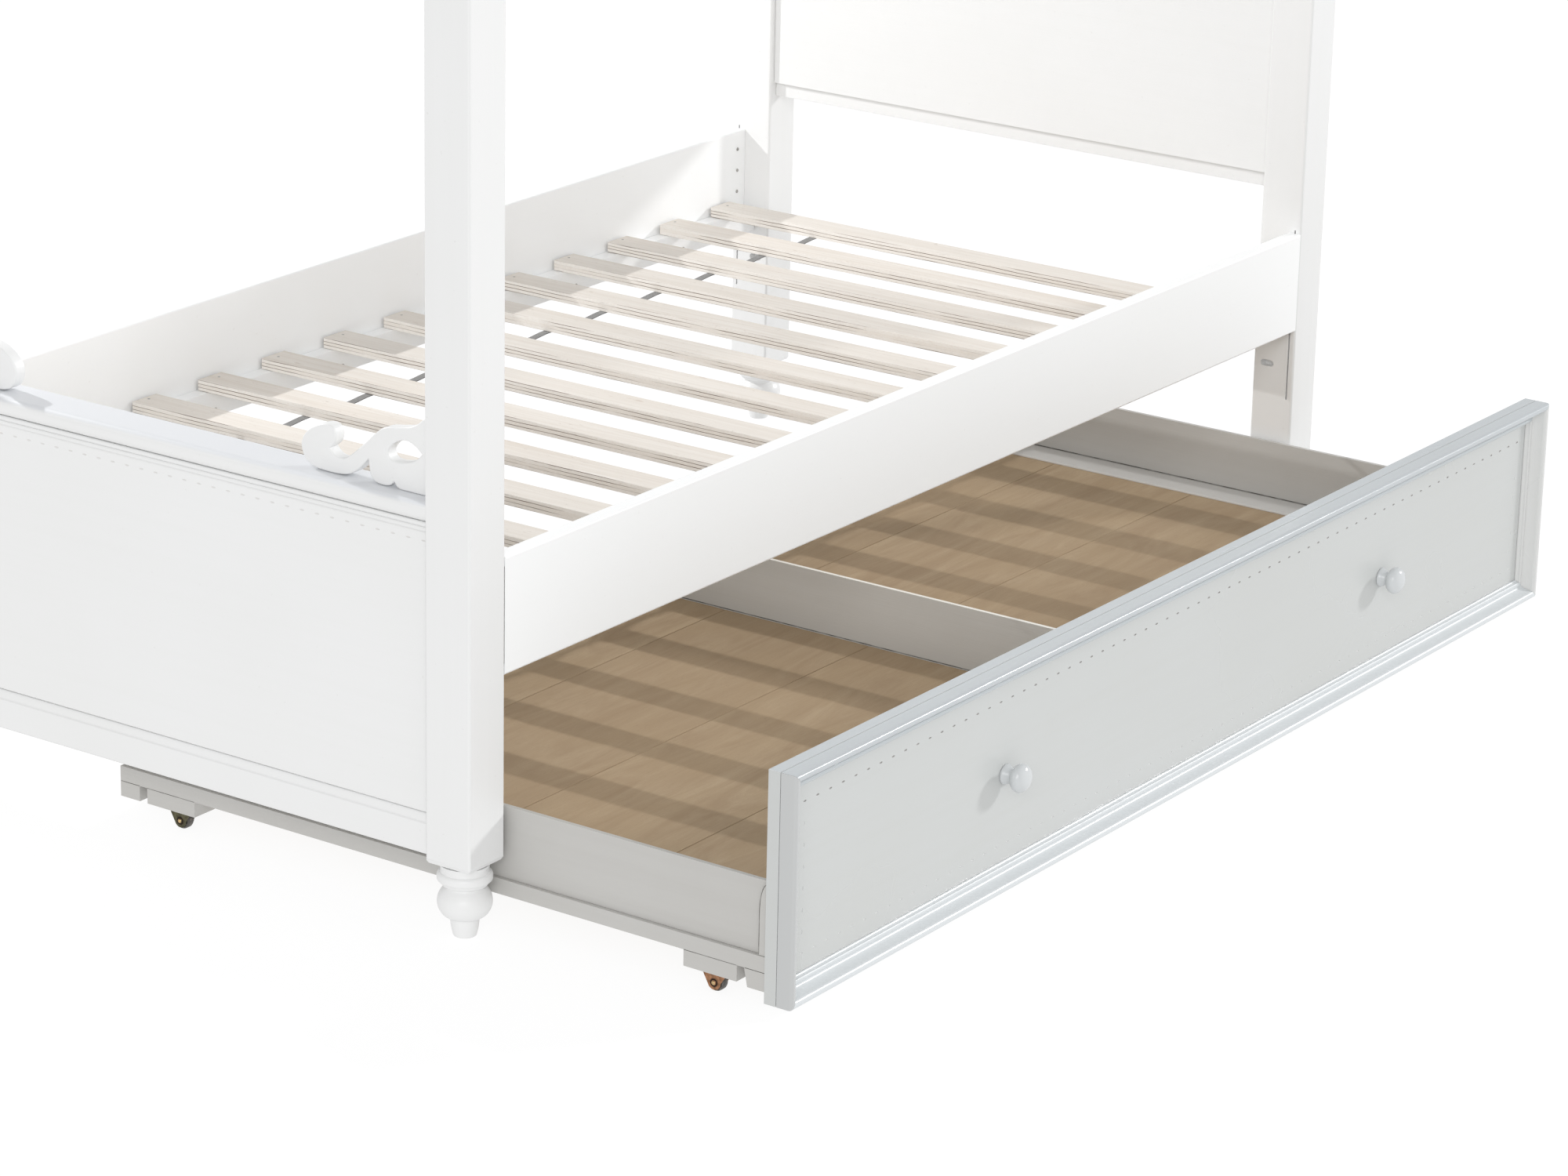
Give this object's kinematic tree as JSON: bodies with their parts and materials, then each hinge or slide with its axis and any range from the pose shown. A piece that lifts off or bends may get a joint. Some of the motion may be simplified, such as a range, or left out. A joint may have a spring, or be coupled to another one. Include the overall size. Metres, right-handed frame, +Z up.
{
  "type": "trundle bed",
  "caption": "Twin poster bed with turned feet, scrolled footboard, slatted base and a divided trundle drawer that rolls out from one long side on small casters.",
  "frame": {"origin": "middle of the floor area that the bed covers with its trundle rolled out to the rest pose, at floor level", "axes": "+X towards the head end, +Y towards the side away from the trundle, +Z up; the trundle rolls out towards -Y"},
  "size_m": [2.0694, 1.4913, 1.26],
  "materials": {
    "white_paint": "satin white lacquer on wood",
    "front_paint": "satin cool-white lacquer on wood",
    "grey_paint": "thin grey-white paint on board",
    "slat_wood": "whitewashed plywood",
    "plywood": "bare brown plywood",
    "webbing": "woven grey webbing",
    "caster_metal": "dull copper-coloured plate",
    "wheel_plastic": "dark nylon",
    "screw_steel": "dull zinc-plated screw"
  },
  "bodies": {
    "bed": {"post_foot_near": "white_paint", "post_foot_far": "white_paint", "post_head_near": "white_paint", "post_head_far": "white_paint", "turned_foot_foot_near": "white_paint", "turned_foot_foot_far": "white_paint", "turned_foot_head_near": "white_paint", "turned_foot_head_far": "white_paint", "footboard_panel": "white_paint", "footboard_base_rail": "white_paint", "footboard_cap": "white_paint", "footboard_reeding": "white_paint", "scroll_near": "white_paint", "scroll_far": "white_paint", "headboard_panel": "white_paint", "headboard_lower_rail": "white_paint", "headboard_cap": "white_paint", "side_rail_near": "white_paint", "side_rail_far": "white_paint", "slat_ledger_near": "white_paint", "slat_ledger_far": "white_paint", "slat_01": "slat_wood", "slat_02": "slat_wood", "slat_03": "slat_wood", "slat_04": "slat_wood", "slat_05": "slat_wood", "slat_06": "slat_wood", "slat_07": "slat_wood", "slat_08": "slat_wood", "slat_09": "slat_wood", "slat_10": "slat_wood", "slat_11": "slat_wood", "slat_12": "slat_wood", "slat_13": "slat_wood", "slat_14": "slat_wood", "slat_strap_near": "webbing", "slat_strap_far": "webbing"},
    "trundle": {"trundle_front_board": "front_paint", "front_moulding_bottom": "front_paint", "front_moulding_head": "front_paint", "front_moulding_top": "front_paint", "front_moulding_foot": "front_paint", "knob_foot": "front_paint", "knob_head": "front_paint", "trundle_side_foot": "grey_paint", "trundle_side_head": "grey_paint", "trundle_back": "grey_paint", "trundle_divider": "grey_paint", "trundle_base_frame": "grey_paint", "trundle_floor_foot": "plywood", "trundle_floor_head": "plywood", "caster_bracket_foot_front": "caster_metal", "caster_bracket_foot_rear": "caster_metal", "caster_bracket_head_front": "caster_metal", "caster_bracket_head_rear": "caster_metal"},
    "wheel_foot_front": {"caster_wheel_foot_front": "wheel_plastic"},
    "wheel_foot_rear": {"caster_wheel_foot_rear": "wheel_plastic"},
    "wheel_head_front": {"caster_wheel_head_front": "wheel_plastic"},
    "wheel_head_rear": {"caster_wheel_head_rear": "wheel_plastic"}
  },
  "joints": [
    {"name": "trundle_slide", "type": "slide", "parent": "bed", "child": "trundle", "axis": [0, -1, 0], "range_m": [-0.408, 0.645]},
    {"name": "wheel_foot_front_roll", "type": "hinge", "parent": "trundle", "child": "wheel_foot_front", "pos_m": [-0.9455, -0.6125, 0.012], "axis": [1, 0, 0], "continuous": true},
    {"name": "wheel_foot_rear_roll", "type": "hinge", "parent": "trundle", "child": "wheel_foot_rear", "pos_m": [-0.9455, 0.2405, 0.012], "axis": [1, 0, 0], "continuous": true},
    {"name": "wheel_head_front_roll", "type": "hinge", "parent": "trundle", "child": "wheel_head_front", "pos_m": [0.9455, -0.6125, 0.012], "axis": [1, 0, 0], "continuous": true},
    {"name": "wheel_head_rear_roll", "type": "hinge", "parent": "trundle", "child": "wheel_head_rear", "pos_m": [0.9455, 0.2405, 0.012], "axis": [1, 0, 0], "continuous": true}
  ],
  "couplings": [
    {"joint": "wheel_foot_front_roll", "follows": "trundle_slide", "rad_per_m": 83.333},
    {"joint": "wheel_foot_rear_roll", "follows": "trundle_slide", "rad_per_m": 83.333},
    {"joint": "wheel_head_front_roll", "follows": "trundle_slide", "rad_per_m": 83.333},
    {"joint": "wheel_head_rear_roll", "follows": "trundle_slide", "rad_per_m": 83.333}
  ]
}
